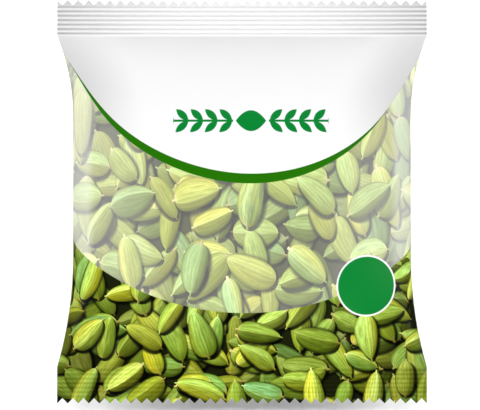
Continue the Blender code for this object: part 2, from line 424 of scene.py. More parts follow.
@dataclass(frozen=True)
class PrintedPods:
    """A printed layer of loose pods: one in each square of a turned grid, at any angle.

    Colours are as a screen shows them, and sizes are in millimetres. A pair of numbers is the least
    and the greatest one where nothing else is said.
    """

    # How far a seed of 1 moves the grid, and what is added to the seed for further random numbers
    stride: Pair = (37.7, 91.3)
    seed_steps: Triple = (0.37, 0.71, 0.93)

    # A pod's size in shares of its square, what its half width has on top of that, and the room
    # that it takes in half lengths
    half_lengths: Pair = (0.335, 0.44)
    half_widths: Pair = (0.13, 0.185)
    added_width: float = 0.6
    room: float = 2.26

    # Its outline: the powers of its sides and of its ends, its taper, its bow, its soft edge, and
    # the half width that it has at least, to divide by
    side_power: float = 2.2
    blunt: Pair = (0.4, 0.62)
    taper: Pair = (0.02, 0.30)
    bow: float = 1.3
    edge: Pair = (0.96, 1.04)
    least_half: float = 0.001

    # The stubs at its ends: their reach in half lengths, their width, how it shrinks outwards and
    # towards the beak, and the marks between which they grow
    stub_reach: float = 0.12
    stub_width: float = 0.62
    stub_narrows: Pair = (1.62, 0.25)
    stub_marks: Pair = (0.0, 0.4)

    # Its ridge: how far it strays from the middle, how soft it is and how wide its pale crest is
    ridge_range: float = 1.1
    ridge_edge: float = 0.12
    crest_width: float = 0.14

    # The light: its way, how round the husk is across and along, how steep its facets are, and
    # what it adds to the light that is always there
    light: Triple = (-0.45, 0.75, 0.0)
    roundness: Pair = (0.55, 0.75)
    facets: Pair = (0.20, 0.65)
    light_gain: float = 0.48
    light_base: float = 0.88
    light_limits: Pair = (0.40, 1.08)

    # The shadow: how far it is thrown, how much longer and wider than the pod it is, its soft edge
    # and its depth
    shadow_shift: float = 0.8
    shadow_length: float = 1.05
    shadow_width: float = 0.45
    shadow_edge: Pair = (0.76, 1.10)
    shadow_depth: float = 0.80

    # The husk's streaks: how fine they are along and across, how far apart pods read them, their
    # detail and roughness, and how they turn the hue
    grain: Pair = (1.1, 4.2)
    grain_jump: float = 40.0
    grain_detail: Pair = (3.0, 0.65)
    hue_turns: float = 5.0
    hue_streaks: float = 0.06

    # Its fine ribs: how close they stand, how far the streaks bend them, and how sharp they are
    rib_waves: float = 21.0
    rib_stray: float = 12.0
    rib_power: float = 3.0

    # How light it is by its tone, by its streaks and ribs, and at its rim by a power and a depth
    tone_light: Pair = (0.89, 1.19)
    streak_light: float = 0.55
    rib_light: float = 0.06
    rim: Pair = (7.0, 0.5)

    greens: tuple[Colour, ...] = (
        display(174, 204, 74),
        display(150, 186, 66),
        display(188, 212, 92),
        display(196, 206, 66),
        display(142, 190, 84),
        display(186, 194, 46),
        display(150, 178, 52),
        display(124, 176, 96),
    )

    # What lies over the green. The yellow side grows by the place across and by the tone
    yellow_side: Wash = Wash(display(212, 196, 38), 1.2, 2.7, 0.6)
    yellow_by: Pair = (0.8, 2.2)
    pale: Colour = display(216, 230, 128)
    pale_ribs: float = 0.10
    pale_crest: float = 0.30
    stalk_end: Wash = Wash(display(210, 192, 110), -0.80, -1.0, 0.7)
    beak_end: Wash = Wash(display(216, 230, 128), 0.86, 1.0, 0.5)
    brown_spots: Wash = Wash(display(150, 112, 52), 0.30, 0.24, 0.6)

    def group(self) -> bpy.types.NodeTree:
        """The node group of one layer.

        Returns:
            A group that takes a place, the colour under it, a seed, a turn, a brightness and a
            cell, and gives the colour with its pods over it.
        """
        tree = bpy.data.node_groups.new("printed_pods", "ShaderNodeTree")
        kinds = {"Place": "Vector", "Under": "Color"}
        kinds |= dict.fromkeys(("Seed", "Turn", "Bright", "Cell"), "Float")
        for name, kind in kinds.items():
            tree.interface.new_socket(name, in_out="INPUT", socket_type=f"NodeSocket{kind}")
        tree.interface.new_socket("Colour", in_out="OUTPUT", socket_type="NodeSocketColor")
        maker = NodeMaker(tree)
        given = maker.node("NodeGroupInput")
        place, under, seed, turn, bright, cell = (Term(maker, given.outputs[i]) for i in range(6))
        pod = self._scatter(maker, place, seed, turn, cell)
        lit = maker.flat_parts(maker.turned(self.light, turn - pod.angle))
        along, across = maker.flat_parts(maker.turned(pod.spot, pod.angle * -1.0))
        cover, far, off, off_ridge = self._outline(maker, along, across, pod)
        colour = self._dress(maker, pod, far, off, off_ridge, lit)
        thrown_along = along + lit[0] * self.shadow_shift
        shade = self._shadow(maker, thrown_along, across + lit[1] * self.shadow_shift, pod)
        ground = maker.mixed(shade * self.shadow_depth, under, BLACK)
        over = maker.dimmed(colour, bright)
        maker.node("NodeGroupOutput", {0: maker.mixed(cover, ground, over)})
        return tree

    def _scatter(self, maker: NodeMaker, place: Term, seed: Term, turn: Term, cell: Term) -> DrawnPod:
        """Finds the pod of the square that a place is in.

        Args:
            maker: the tree's maker.
            place: the place on the film.
            seed: the layer's seed.
            turn: the turn of the layer's grid.
            cell: the side of its squares.

        Returns:
            The pod.
        """
        shift = maker.joined(seed * self.stride[0], seed * self.stride[1])
        square = maker.scaled(maker.vector("ADD", maker.turned(place, turn), shift), 1.0 / cell)
        number = maker.vector("FLOOR", square)
        inside = maker.vector("SUBTRACT", maker.vector("SUBTRACT", square, number), (0.5, 0.5, 0.0))
        spin, long, wide = maker.dice(number, seed)
        (shift_x, shift_y, bend), (hue, tone, ridge), (blunt, taper, mark) = (
            maker.dice(number, seed + step) for step in self.seed_steps
        )
        half_length = maker.between(long, self.half_lengths) * cell
        half_width = maker.between(wide, self.half_widths) * cell + self.added_width
        room = cell - half_length * self.room
        jitter = maker.joined((shift_x - 0.5) * room, (shift_y - 0.5) * room)
        return DrawnPod(
            spot=maker.vector("SUBTRACT", maker.scaled(inside, cell), jitter),
            angle=spin * (2 * math.pi),
            half_length=half_length,
            half_width=half_width,
            blunt=maker.between(blunt, self.blunt),
            taper=maker.between(taper, self.taper),
            bend=bend,
            hue=hue,
            tone=tone,
            ridge=ridge,
            mark=mark,
        )

    def _profile(self, maker: NodeMaker, far: Term, half_width: Value, pod: DrawnPod) -> Term:
        """Half the width of a pod at this share of its half length: it tapers more to its beak."""
        bulge = maker.math("MAXIMUM", 1.0 - abs(far) ** self.side_power, 0.0) ** pod.blunt
        return bulge * half_width * (1.0 - far * pod.taper)

    def _outline(self, maker: NodeMaker, along: Term, across: Term, pod: DrawnPod) -> tuple[Term, ...]:
        """Where the pod is.

        Args:
            maker: the tree's maker.
            along: millimetres from the pod's middle towards its beak.
            across: millimetres to its left.
            pod: the pod.

        Returns:
            Its cover, then the share of its half length, the share of its half width, and that
            share counted from its ridge.
        """
        far = along / pod.half_length
        bowed = across + (pod.bend - 0.5) * self.bow * (1.0 - far * far)
        outwards, to_beak = self.stub_narrows
        neck = (outwards - abs(far)) * (1.0 - far * to_beak) * self.stub_width
        near_ends = maker.math("COMPARE", abs(far), 1.0, self.stub_reach)
        stub = near_ends * neck * maker.step(pod.mark, *self.stub_marks)
        half = maker.math("MAXIMUM", self._profile(maker, far, pod.half_width, pod), stub) + self.least_half
        off = bowed / half
        cover = maker.step(abs(off), *self.edge, 1.0, 0.0)
        return cover, far, off, off - (pod.ridge - 0.5) * self.ridge_range

    def _shadow(self, maker: NodeMaker, along: Term, across: Term, pod: DrawnPod) -> Term:
        """The shadow that the pod throws: its outline, swollen and moved from the light."""
        far = along / (pod.half_length * self.shadow_length)
        half = self._profile(maker, far, pod.half_width + self.shadow_width, pod) + self.least_half
        return maker.step(abs(across / half), *self.shadow_edge, 1.0, 0.0)

    def _dress(
        self, maker: NodeMaker, pod: DrawnPod, far: Term, off: Term, off_ridge: Term, lit: tuple[Term, Term]
    ) -> Term:
        """The husk's colour: green of one tone, streaked along, lit on its facets, with straw ends.

        Args:
            maker: the tree's maker.
            pod: the pod.
            far: the share of the pod's half length.
            off: the share of its half width.
            off_ridge: the same, counted from its ridge.
            lit: how far the light leans along the pod and across it.

        Returns:
            The colour.
        """
        side = maker.step(off_ridge, -self.ridge_edge, self.ridge_edge, -1.0, 1.0)
        facet = maker.between(pod.mark, self.facets)
        round_across, round_along = self.roundness
        shade = lit[1] * (off * round_across + side * facet) + lit[0] * (far * abs(far) * round_along)
        darkest, lightest = self.light_limits
        light = maker.math("MAXIMUM", shade * self.light_gain + self.light_base, darkest)
        light = maker.math("MINIMUM", light, lightest)
        fine_along, fine_across = self.grain
        spot_along = far * fine_along + pod.hue * self.grain_jump
        spot = maker.joined(spot_along, off * fine_across + pod.tone * self.grain_jump)
        streaks, patches = maker.flat_parts(maker.clouds(spot, 1.0, *self.grain_detail))
        streaks = streaks - 0.5
        hue = pod.hue * self.hue_turns + streaks * self.hue_streaks
        green = maker.ramp(maker.math("FRACT", hue), self.greens)
        by_side, by_tone = self.yellow_by
        green = self.yellow_side.over(maker, off_ridge * by_side + pod.tone * by_tone, green)
        ribs = maker.math("COSINE", off_ridge * self.rib_waves + streaks * self.rib_stray)
        crest = maker.step(abs(off_ridge), 0.0, self.crest_width, 1.0, 0.0)
        pale = maker.math("MAXIMUM", ribs, 0.0) ** self.rib_power * self.pale_ribs + crest * self.pale_crest
        green = maker.mixed(pale, green, self.pale)
        for wash, measure in ((self.stalk_end, far), (self.beak_end, far), (self.brown_spots, patches)):
            green = wash.over(maker, measure, green)
        power, depth = self.rim
        rim = maker.math("MINIMUM", abs(off), 1.0) ** power * depth
        grain = streaks * self.streak_light + ribs * self.rib_light + 1.0
        tint = light * maker.between(pod.tone, self.tone_light) * grain * (1.0 - rim)
        return maker.mixed(1.0, green, maker.joined(tint, tint, tint**2.0), "MULTIPLY")


@dataclass(frozen=True)
class Disc:
    """A round print, in millimetres on the film."""

    x: float
    y: float
    radius: float

    def inside(self, maker: NodeMaker, x: Term, y: Term) -> Term:
        """1 inside the disc and 0 outside it."""
        reach = maker.math("SQRT", (x - self.x) ** 2.0 + (y - self.y) ** 2.0)
        return maker.step(reach, self.radius - PRINT_BLUR, self.radius + PRINT_BLUR, 1.0, 0.0)


@dataclass(frozen=True)
class Sweep:
    """A smooth line across the film that runs through a few points, in millimetres.

    Args:
        heights: its heights at even steps, from the left to the right.
        reach: how far from the middle the first and the last of them are.
    """

    heights: tuple[float, ...]
    reach: float = 54.0

    def height(self, x: Term) -> Term:
        """The line's height, by the one polynomial that runs through all its points."""
        spots = np.linspace(-1, 1, len(self.heights))
        first, second, *others = np.polyfit(spots, self.heights, len(spots) - 1).tolist()
        share = x / self.reach
        total = share * first + second
        for number in others:
            total = total * share + number
        return total


@dataclass(frozen=True)
class Sprig:
    """A plain printed sprig: a pod in the middle and pairs of leaves along a stem on both sides.

    Args:
        x: the place of its middle on the film, in millimetres.
        y: its height there.
        pod: the pod's half length and half width.
        stem: where the stem begins and ends, counted from the middle, and half its thickness.
        leaf_pitch: how far apart the leaves are.
        leaf: a leaf's half length and its half width.
        leaf_lean: how far it leans outwards from the stem, in radians.
        leaf_spot: a leaf's middle along its pitch and away from the stem.
    """

    x: float
    y: float
    pod: Pair = (4.6, 3.1)
    stem: Triple = (5.4, 23.5, 0.26)
    leaf_pitch: float = 4.4
    leaf: Pair = (2.55, 1.05)
    leaf_lean: float = 0.72
    leaf_spot: Pair = (2.2, 1.75)

    def inside(self, maker: NodeMaker, x: Term, y: Term) -> Term:
        """1 on the sprig and 0 beside it."""
        out, off = abs(x - self.x), abs(y - self.y)
        pod = self._lens(maker, out, off, self.pod)
        first, last, thick = self.stem
        along = maker.math("FRACT", (out - first) / self.leaf_pitch) * self.leaf_pitch - self.leaf_spot[0]
        rise = off - self.leaf_spot[1]
        cosine, sine = math.cos(self.leaf_lean), math.sin(self.leaf_lean)
        leaf = self._lens(maker, along * cosine + rise * sine, rise * cosine - along * sine, self.leaf)
        leaf = maker.math("MAXIMUM", leaf, maker.step(off, thick, thick + 2 * PRINT_BLUR, 1.0, 0.0))
        in_reach = maker.math("COMPARE", out, (first + last) / 2, (last - first) / 2)
        return maker.math("MAXIMUM", pod, leaf * in_reach)

    def _lens(self, maker: NodeMaker, along: Term, across: Term, half: Pair) -> Term:
        """1 inside a pointed oval of this half length and half width."""
        edge = (1.0 - (along / half[0]) ** 2.0) * half[1]
        return maker.step(abs(across) - edge, -PRINT_BLUR, PRINT_BLUR, 1.0, 0.0)


@dataclass(frozen=True)
class PouchPrint:
    """The print: pods at the foot, the same washed out in a band, a green curve and a white top, with
    painted shade and highlight laid over it.

    Places and lengths are in millimetres on the film. Depths say how much light is lost.
    """

    # The pile of pods: its layers from the lowest up, the first one's seed and turn, each with what
    # every further layer adds, and what lies under them
    pods: PrintedPods = field(default_factory=PrintedPods)
    layers: tuple[PodLayer, ...] = (
        PodLayer(18.0, 0.66),
        PodLayer(15.5, 0.72),
        PodLayer(18.0, 0.8),
        PodLayer(15.0, 0.86),
        PodLayer(17.5, 0.92),
        PodLayer(14.5, 0.96),
        PodLayer(17.5, 1.0),
        PodLayer(14.5, 1.0),
        PodLayer(17.0, 1.0),
    )
    seeds: Pair = (3.0, 1.7)
    turns: Pair = (0.4, 1.13)
    ground: Colour = display(30, 34, 12)

    # The band, in which the pile is larger, moved and washed out by printed white, more of it towards
    # its sides, with painted highlight of the glossy film near its edges: both rises of the white go from
    # a place across to another, and by how much
    band: Disc = Disc(0.97, 46.08, 79.3)
    band_stretch: Pair = (1.04, 1.27)
    band_shift: Triple = (71.0, 43.0, 0.0)
    veil: Colour = (1.0, 1.0, 1.0)
    veil_share: float = 0.4
    veil_rise: Triple = (18.0, 40.0, 0.12)
    edge_painted_sheen: Triple = (44.0, 47.5, 0.18)

    # The white top: its lower edge, the green curve's width under it, which is nothing where it is
    # less than 0, and where it is white whatever the edge says
    white: Colour = display(250, 250, 250)
    green: Colour = display(40, 114, 6)
    label: Sweep = Sweep((42.63, 21.85, 12.03, 8.34, 10.29, 19.3, 41.49))
    curve: Sweep = Sweep((0.0, 2.37, 2.86, 2.73, 1.37, -0.98))
    label_top: float = 46.0
    edge_blur: float = 0.08

    # Painted shade at its sides, for the film curving away from the light: how far out it runs low
    # down and how much further higher up, the height from which it goes further, over how much, and
    # by which power, then where it begins and ends across and its depth, and the height where it stops
    side_shade: Pair = (43.0, 8.0)
    side_shade_rise: Triple = (31.0, 14.5, 1.5)
    side_shade_range: Triple = (-16.0, 12.0, 0.16)
    side_shade_end: Pair = (49.7, 49.9)

    # What is printed on the white and over the pods
    badge_green: Colour = display(0, 132, 53)
    badge: Disc = Disc(37.6, -25.1, 8.65)
    badge_rim: Disc = Disc(37.6, -25.1, 9.2)
    sprig: Sprig = field(default_factory=lambda: Sprig(2.7, 24.0))

    # Where the print ends on the back, and where the dimming towards the pouch's sides is full
    front_edge: float = 61.5
    full_side: float = 55.5

    # The seals, counted from the middle: where they begin, where their first groove is, how far
    # apart the grooves are and where they fade out before the teeth
    seal_edge: Pair = (49.85, 49.95)
    first_groove: float = 50.46
    groove_pitch: float = 1.33
    groove_end: Pair = (58.64, 58.94)

    # Painted shade in the seals: its depth in the middle of a groove and what the sides add, by a power
    # of the way out, then the share of it at the foot, its depth over the whole seal towards the ends by
    # a power, and its depth over the top's teeth
    groove_painted_shade: Triple = (0.075, 0.165, 3.0)
    foot_groove_shade_share: float = 0.4
    seal_painted_shade: Pair = (0.05, 2.5)
    teeth_painted_shade: Pair = (0.035, 0.09)

    # The height over which what is only at the top sets in
    top_half: Pair = (-1.0, 1.0)

    # Painted shade in the corners of the foot: from where to where out, its depth, and how low
    corner_painted_shade: Triple = (34.0, 56.0, 0.14)
    corner_below: Pair = (-26.0, -40.0)

    def colour(self, maker: NodeMaker, place: Term) -> Term:
        """The print's colour.

        Args:
            maker: the material's maker.
            place: the place on the film, in millimetres.

        Returns:
            The colour, as linear light.
        """
        x, y = maker.flat_parts(place)
        in_band = self.band.inside(maker, x, y)
        edge = self.label.height(x)
        under_edge = edge - maker.math("MAXIMUM", self.curve.height(x), 0.0)
        in_curve = maker.step(y - under_edge, -self.edge_blur, self.edge_blur)
        top = maker.step(y, self.label_top - self.edge_blur, self.label_top + self.edge_blur)
        in_label = maker.math("MAXIMUM", maker.step(y - edge, -self.edge_blur, self.edge_blur), top)
        colour = self._pile(maker, place, in_band)
        # Printed veil over the band, and painted highlight near its edges
        colour = maker.mixed(in_band * self._veil_and_sheen(maker, x), colour, self.veil)
        colour = maker.mixed(in_curve, colour, self.green)
        # The white top, darkened towards its sides by painted shade
        colour = maker.mixed(in_label, colour, maker.dimmed(self.white, self._painted_side_shade(maker, x, y)))
        for mark, ink in (
            (self.sprig, self.badge_green),
            (self.badge_rim, self.white),
            (self.badge, self.badge_green),
        ):
            colour = maker.mixed(mark.inside(maker, x, y), colour, ink)
        back = maker.step(abs(x), self.front_edge - PRINT_BLUR, self.front_edge + PRINT_BLUR)
        colour = maker.mixed(back, colour, self.white)
        # Painted shade: in the seals' grooves, towards their ends, over the teeth and in the foot's corners
        colour = maker.dimmed(colour, self._painted_seal_shade(maker, x, y) * self._painted_corner_shade(maker, x, y))
        return maker.result("ShaderNodeGamma", {"Color": colour, "Gamma": SCREEN_GAMMA})

    def _veil_and_sheen(self, maker: NodeMaker, x: Term) -> Term:
        """How much white lies over the pods in the band: printed veil, and painted highlight near its edges.
        """
        low, high, rise = self.veil_rise
        veil = maker.step(abs(x), low, high, self.veil_share, self.veil_share + rise)
        low, high, rise = self.edge_painted_sheen
        return veil + maker.step(abs(x), low, high, 0.0, rise)

    def _painted_side_shade(self, maker: NodeMaker, x: Term, y: Term) -> Term:
        """How light the white top is: painted shade darkens it towards its sides, where the film curves
        away.
        """
        out, further = self.side_shade
        low, tall, power = self.side_shade_rise
        rise = maker.math("MAXIMUM", (y - low) / tall, 0.0) ** power
        near, far, depth = self.side_shade_range
        below_seal = maker.step(y, *self.side_shade_end, depth, 0.0)
        return 1.0 - maker.step(abs(x) - rise * further - out, near, far) * below_seal

    def _painted_corner_shade(self, maker: NodeMaker, x: Term, y: Term) -> Term:
        """How light the print is in its foot: painted shade darkens both corners."""
        near, far, depth = self.corner_painted_shade
        return 1.0 - maker.step(abs(x), near, far) * maker.step(y, *self.corner_below) * depth

    def _painted_seal_shade(self, maker: NodeMaker, x: Term, y: Term) -> Term:
        """How light the seals are: painted shade darkens their grooves, their ends and the top's teeth."""
        far = maker.math("MINIMUM", abs(x) / self.full_side, 1.0)
        away = abs(y)
        in_seal = maker.step(away, *self.seal_edge)
        in_grooves = in_seal * maker.step(away, *self.groove_end, 1.0, 0.0)
        turns = (away - self.first_groove) * (2 * math.pi / self.groove_pitch)
        wave = maker.math("COSINE", turns) * 0.5 + 0.5
        least, more, power = self.groove_painted_shade
        depth = (far**power * more + least) * maker.step(y, *self.top_half, self.foot_groove_shade_share, 1.0)
        in_teeth = maker.step(away, *self.groove_end) * maker.step(y, *self.top_half)
        least, more = self.teeth_painted_shade
        teeth = 1.0 - in_teeth * (far * more + least)
        seal_shade, power = self.seal_painted_shade
        # Painted shade in the grooves, towards the seal's ends and over the teeth
        return (1.0 - in_grooves * wave * depth) * (1.0 - in_seal * far**power * seal_shade) * teeth

    def _pile(self, maker: NodeMaker, place: Term, in_band: Term) -> Term:
        """The pile of pods, layer on layer, stretched and moved in the band."""
        shrink = (*(1 / stretch for stretch in self.band_stretch), 0.0)
        stretched = maker.vector("ADD", maker.vector("MULTIPLY", place, shrink), self.band_shift)
        spot = maker.either(maker.math("GREATER_THAN", in_band, 0.5), place, stretched)
        colour: object = (*self.ground, 1)
        tree = self.pods.group()
        for number, pods in enumerate(self.layers):
            given = {"Place": spot, "Under": colour, "Bright": pods.bright, "Cell": pods.cell}
            given["Seed"] = self.seeds[0] + number * self.seeds[1]
            given["Turn"] = self.turns[0] + number * self.turns[1]
            colour = maker.result("ShaderNodeGroup", given, node_tree=tree)
        return colour


# Finishes


@dataclass(frozen=True)
class Finish:
    """A finish that a Principled shader gives, and that each kind of it paints in its own way.

    Args:
        name: the material's name.
        roughness: how rough the surface is.
        spread: how far the roughness goes up and down in all.
        shine: the strength of its reflection, with 0.5 for common plastic.
    """

    name: str
    roughness: float
    spread: float
    shine: float

    def material(self) -> bpy.types.Material:
        """The material."""
        made = bpy.data.materials.new(self.name)
        made.use_nodes = True
        maker = NodeMaker(made.node_tree)
        shader = made.node_tree.nodes["Principled BSDF"]
        shader.inputs["Specular IOR Level"].default_value = self.shine
        cloud = self._paint(maker, shader)
        maker.feed(shader.inputs["Roughness"], cloud * self.spread + (self.roughness - self.spread / 2))
        return made

    def _paint(self, maker: NodeMaker, shader: bpy.types.Node) -> Term:
        """Writes the colour and the relief onto the shader.

        Args:
            maker: the material's maker.
            shader: its shader.

        Returns:
            The noise that the roughness follows.
        """
        raise NotImplementedError


@dataclass(frozen=True)
class PrintedFilm(Finish):
    """The film's outside: glossy ink on film that creeps slightly."""

    name: str = "printed_film"
    roughness: float = 0.3
    spread: float = 0.10
    shine: float = 0.35
    picture: PouchPrint = field(default_factory=PouchPrint)

    # How fine the clouds in its gloss and the creeping of its surface are, to the millimetre, each
    # with its detail, and how strong and how deep that creeping is
    clouds: Pair = (0.12, 3.0)
    creep: Pair = (0.9, 2.0)
    creep_strength: float = 0.15
    creep_depth: float = 0.05 * MM

    def _paint(self, maker: NodeMaker, shader: bpy.types.Node) -> Term:
        """Colours the film by its print, and lets it creep."""
        place = maker.result("ShaderNodeUVMap", uv_map=PRINT_MAP)
        maker.feed(shader.inputs["Base Color"], self.picture.colour(maker, place))
        maker.bump(shader, maker.noise(place, *self.creep), self.creep_strength, self.creep_depth)
        return maker.noise(place, *self.clouds)


@dataclass(frozen=True)
class FilmInside(Finish):
    """The film's unprinted inside and its cut edge: milky white, clouded to the metre."""

    name: str = "film_inside"
    roughness: float = 0.46
    spread: float = 0.12
    shine: float = 0.4
    milk: Colour = (0.78, 0.78, 0.76)
    grey: Colour = (0.68, 0.69, 0.68)
    clouds: Pair = (90.0, 3.0)

    def _paint(self, maker: NodeMaker, shader: bpy.types.Node) -> Term:
        """Clouds the white faintly."""
        cloud = maker.noise(maker.result("ShaderNodeTexCoord", output="Object"), *self.clouds)
        maker.feed(shader.inputs["Base Color"], maker.mixed(cloud, self.milk, self.grey))
        return cloud


@dataclass(frozen=True)
class DryHusk(Finish):
    """A dry cardamom husk: matte green, streaked along its length, with straw-coloured ends.

    It reads a place along, a place around and a tone from the mesh.
    """

    name: str = "dry_green_husk"
    roughness: float = 0.62
    spread: float = 0.3
    shine: float = 0.35
    greens: tuple[Colour, ...] = (
        linear(display(104, 134, 62)),
        linear(display(140, 162, 78)),
        linear(display(168, 182, 96)),
        linear(display(150, 160, 66)),
    )

    # The streaks: how fine they are along and around, how far apart pods read them, their scale,
    # detail and roughness, and how the green follows the pod's tone and the streaks
    grain: Triple = (3.0, 30.0, 20.0)
    grain_detail: Triple = (1.0, 4.0, 0.6)
    hue_by: Pair = (3.0, 0.5)
    ends: Wash = Wash(linear(display(190, 168, 112)), 0.42, 0.5, 0.8)
    wrinkle_strength: float = 0.5
    wrinkle_depth: float = 0.15 * MM

    def _paint(self, maker: NodeMaker, shader: bpy.types.Node) -> Term:
        """Streaks the husk and wrinkles it."""
        along, around, _ = maker.parts(maker.result("ShaderNodeUVMap", uv_map=PRINT_MAP))
        tone = maker.result("ShaderNodeAttribute", output="Fac", attribute_name=TONE)
        fine_along, fine_around, jump = self.grain
        spot = maker.joined(along * fine_along, around * fine_around, tone * jump)
        streaks = maker.noise(spot, *self.grain_detail)
        by_tone, by_streaks = self.hue_by
        husk = maker.ramp(maker.math("FRACT", tone * by_tone + streaks * by_streaks), self.greens)
        maker.feed(shader.inputs["Base Color"], self.ends.over(maker, abs(along - 0.5), husk))
        maker.bump(shader, streaks, self.wrinkle_strength, self.wrinkle_depth)
        return streaks


# The pouch


@dataclass(frozen=True)
class Crease:
    """One soft fold that runs from a seal into the body of the pouch.

    Args:
        across: where it starts, as a share of half the width.
        drift: how far it leans sideways, in shares for each millimetre.
        width: half its width, as a share of half the pouch's.
        height: how far it lifts the film.
        reach: how far from the seal it is highest.
    """

    across: float
    drift: float
    width: float
    height: float
    reach: float

    def lift(self, share: np.ndarray, away: float) -> np.ndarray:
        """How far the film is lifted, at these shares of half the width and away from the seal."""
        if away <= 0:
            return np.zeros_like(share)
        rise = away / self.reach * math.exp(1 - away / self.reach)
        middle = self.across * (1 - self.drift * away / MM)
        return self.height * rise * np.exp(-(((share - middle) / self.width) ** 2))


@dataclass
class FilmPouch:
    """The web of film: tube, fin, ribbed seals and zigzag cuts, as one thin closed sheet."""

    # The teeth that the zigzag knife cuts
    tooth_pitch: float = 3.175 * MM
    tooth_count: int = 35

    # The pouch from tip to tip and across its waist, and how far each end draws the sides out:
    # over this length, along a curve of this power
    length: float = 121.1 * MM
    waist_width: float = 101.4 * MM
    top_draw: Pair = (25.0 * MM, 2.1)
    foot_draw: Pair = (36.0 * MM, 2.2)

    # The end seals from the body to the tips, the flat before their first rib, and the ribs: how
    # far they sink, and how they fade out before the first and past the last, in ribs
    seal_length: float = 10.85 * MM
    seal_margin: float = 0.75 * MM
    rib_pitch: float = 1.33 * MM
    rib_count: int = 6
    rib_height: float = 0.32 * MM
    rib_sink: float = 0.6
    rib_fade: Triple = (0.3, 0.2, 0.6)

    # The body: powers of its swelling lengthwise and of its section, the section's points, how
    # exactly the swelling is found, and how high the seals stand over the back as a share of it,
    # with half a layer and half the film of the solid on top
    swell_power: float = 3.0
    section_power: float = 2.5
    arch_points: int = 400
    swell_error: float = 0.001 * MM
    flat_share: float = 0.85
    packed_layer: float = 0.425 * MM

    # The film's thickness, the step from one layer to the next, and the folded fin: its width in
    # teeth and the ramp beside it
    film: float = 0.1 * MM
    layer: float = 0.13 * MM
    fin_teeth: float = 3.5
    fin_ramp: float = 2.0 * MM

    # The mesh: rows of the body, which bunch at the seals by the first share and are even by the
    # second, rows of a rib and of the teeth, columns of a tooth, and from which angle edges are sharp
    body_rows: int = 76
    row_mix: Pair = (0.55, 0.45)
    rib_rows: int = 8
    tooth_rows: int = 7
    front_columns: int = 4
    back_columns: int = 1
    sharp_angle: float = 70.0

    # The creases: how far out they start, how strong they are in millimetres by a power of the way
    # out, and the least and greatest of what is drawn for each, in shares, shares for each
    # millimetre and millimetres; they calm down towards the pouch's sides by a power
    crease_seed: int = 11
    crease_count: int = 9
    crease_span: float = 0.92
    crease_strength: tuple[float, float, int] = (0.10, 0.22, 3)
    crease_places: Pair = (0.2, 0.8)
    crease_heights: Pair = (0.5, 1.0)
    crease_drifts: Pair = (0.0, 0.012)
    crease_widths: Pair = (0.035, 0.07)
    crease_reaches: Pair = (4.0, 8.0)
    calm_power: int = 10

    # The map for baking: where the front, the right and the left half of the back and the inside
    # begin across it, each with its width for half a pouch, and where the cut edge lies
    front_strip: Pair = (MAP_MARGIN, 0.34)
    right_strip: Pair = (0.70, 0.10)
    left_strip: Pair = (0.84, 0.10)
    inside_strip: Pair = (0.972, 0.010)
    edge_strip: float = 0.9975

    def __post_init__(self) -> None:
        """Works out the sizes that follow from the others."""
        self.width = self.tooth_count * self.tooth_pitch
        self.tooth_depth = self.tooth_pitch / 2
        self.body_half = self.length / 2 - self.seal_length
        self.fin_width = self.fin_teeth * self.tooth_pitch
        self.half_layer = self.layer / 2
        self.swell = self._swell_at_waist()
        self.seal_plane = cad_box[0].z + self.flat_share * self.swell + self.packed_layer
        self.creases = {seal: self._draw_creases(seal) for seal in Seal}

    def _draw_creases(self, seal: Seal) -> list[Crease]:
        """Random soft folds along one seal, the strongest near its corners."""
        draw = np.random.RandomState(self.crease_seed + seal.value)
        made = []
        least, more, power = self.crease_strength
        for i in range(self.crease_count):
            place = i + draw.uniform(*self.crease_places)
            across = 2 * self.crease_span * place / self.crease_count - self.crease_span
            strong = least + more * abs(across) ** power
            height = strong * draw.uniform(*self.crease_heights) * (1 if i % 2 else -1) * MM
            drift, width = draw.uniform(*self.crease_drifts), draw.uniform(*self.crease_widths)
            reach = draw.uniform(*self.crease_reaches) * MM
            made.append(Crease(across, drift, width, height, reach))
        return made

    def _arch(self, wide: float, tall: float) -> tuple[np.ndarray, ...]:
        """A quarter of the section's arch, from its middle to its side.

        Args:
            wide: half its width.
            tall: its height.

        Returns:
            The share of its length at each point, the points' X, and their height.
        """
        angle = np.linspace(math.pi / 2, 0, self.arch_points)
        x = wide * np.cos(angle).clip(0) ** (2 / self.section_power)
        rise = tall * np.sin(angle).clip(0) ** (2 / self.section_power)
        gone = np.concatenate([[0.0], np.cumsum(np.hypot(np.diff(x), np.diff(rise)))])
        return gone / gone[-1], x, rise

    def _swell_at_waist(self) -> float:
        """Half the thickness that the waist needs, because film doesn't stretch."""
        low, high = 0.0, self.waist_width / 2
        while high - low > self.swell_error:
            middle = (low + high) / 2
            _, x, rise = self._arch(self.waist_width / 2, middle)
            if np.hypot(np.diff(x), np.diff(rise)).sum() < self.width / 2:
                low = middle
            else:
                high = middle
        return low

    def _half_width(self, y: float) -> float:
        """Half the width of the film's middle surface, to the root of its side fold."""
        shares = []
        for side, (length, power) in ((1, self.top_draw), (-1, self.foot_draw)):
            away = max(0.0, self.body_half - side * y)
            shares.append(1 - max(0.0, 1 - away / length) ** power)
        outside = self.width / 2 - min(shares) * (self.width - self.waist_width) / 2
        return outside - self.half_layer - self.film / 2

    def _ribs(self, away: np.ndarray) -> np.ndarray:
        """Height of the seal's ribs this far from the body: round backs with sharp grooves between."""
        along = (away - self.seal_margin) / self.rib_pitch
        wave = np.abs(np.sin(math.pi * along)) - self.rib_sink
        before, past, gone = self.rib_fade
        starts = smooth_step(-before, 0.0, along)
        ends = smooth_step(self.rib_count + gone, self.rib_count + past, along)
        return self.rib_height * wave * (starts * ends)

    def _fin_window(self, x: np.ndarray) -> np.ndarray:
        """1 over the fin, falling to 0 over a short ramp on both sides of it."""
        beyond = np.maximum(np.maximum(-self.fin_width - x, x), 0.0)
        return np.clip(1 - beyond / self.fin_ramp, 0, 1)

